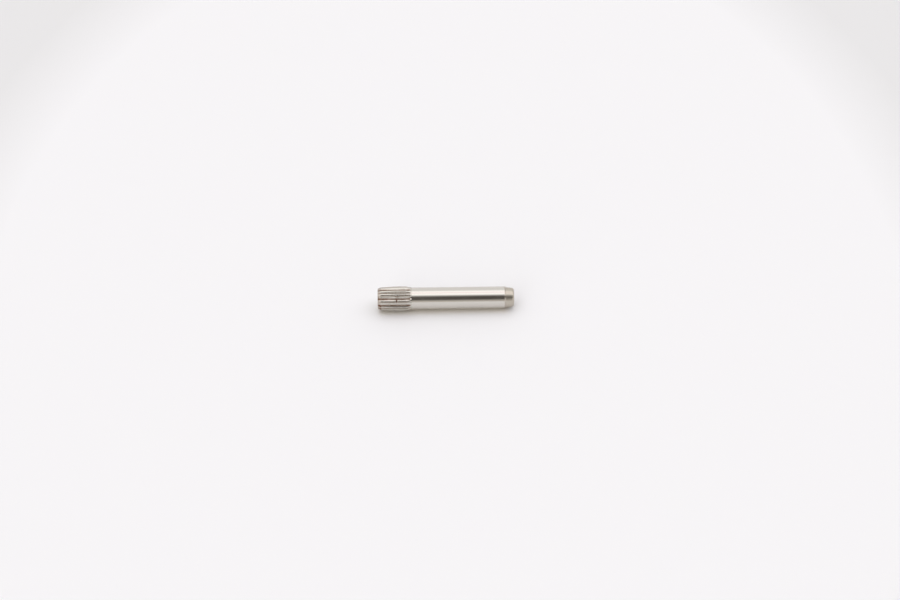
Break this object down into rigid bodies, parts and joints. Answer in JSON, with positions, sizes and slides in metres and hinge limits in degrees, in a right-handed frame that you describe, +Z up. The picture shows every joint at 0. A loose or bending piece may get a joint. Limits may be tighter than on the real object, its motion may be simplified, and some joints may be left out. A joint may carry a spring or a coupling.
{
  "type": "knurled pin",
  "caption": "Round steel pin turned in one piece: a straight-knurled end for pressing into a plate, a plain shank, and a tapered, rounded lead-in tip.",
  "frame": {"origin": "on the pin's axis, at the knurled end face", "axes": "+X along the pin's axis, from the knurled end towards the tapered tip; +Z up as the pin lies, with a knurl groove straight below the axis"},
  "size_m": [0.0184, 0.0032, 0.0032],
  "materials": {
    "stainless_steel": "bare stainless steel: ground shank, pressed knurl, as-turned tip and end faces"
  },
  "bodies": {
    "root": {"knurled_pin": "stainless_steel"}
  },
  "joints": []
}
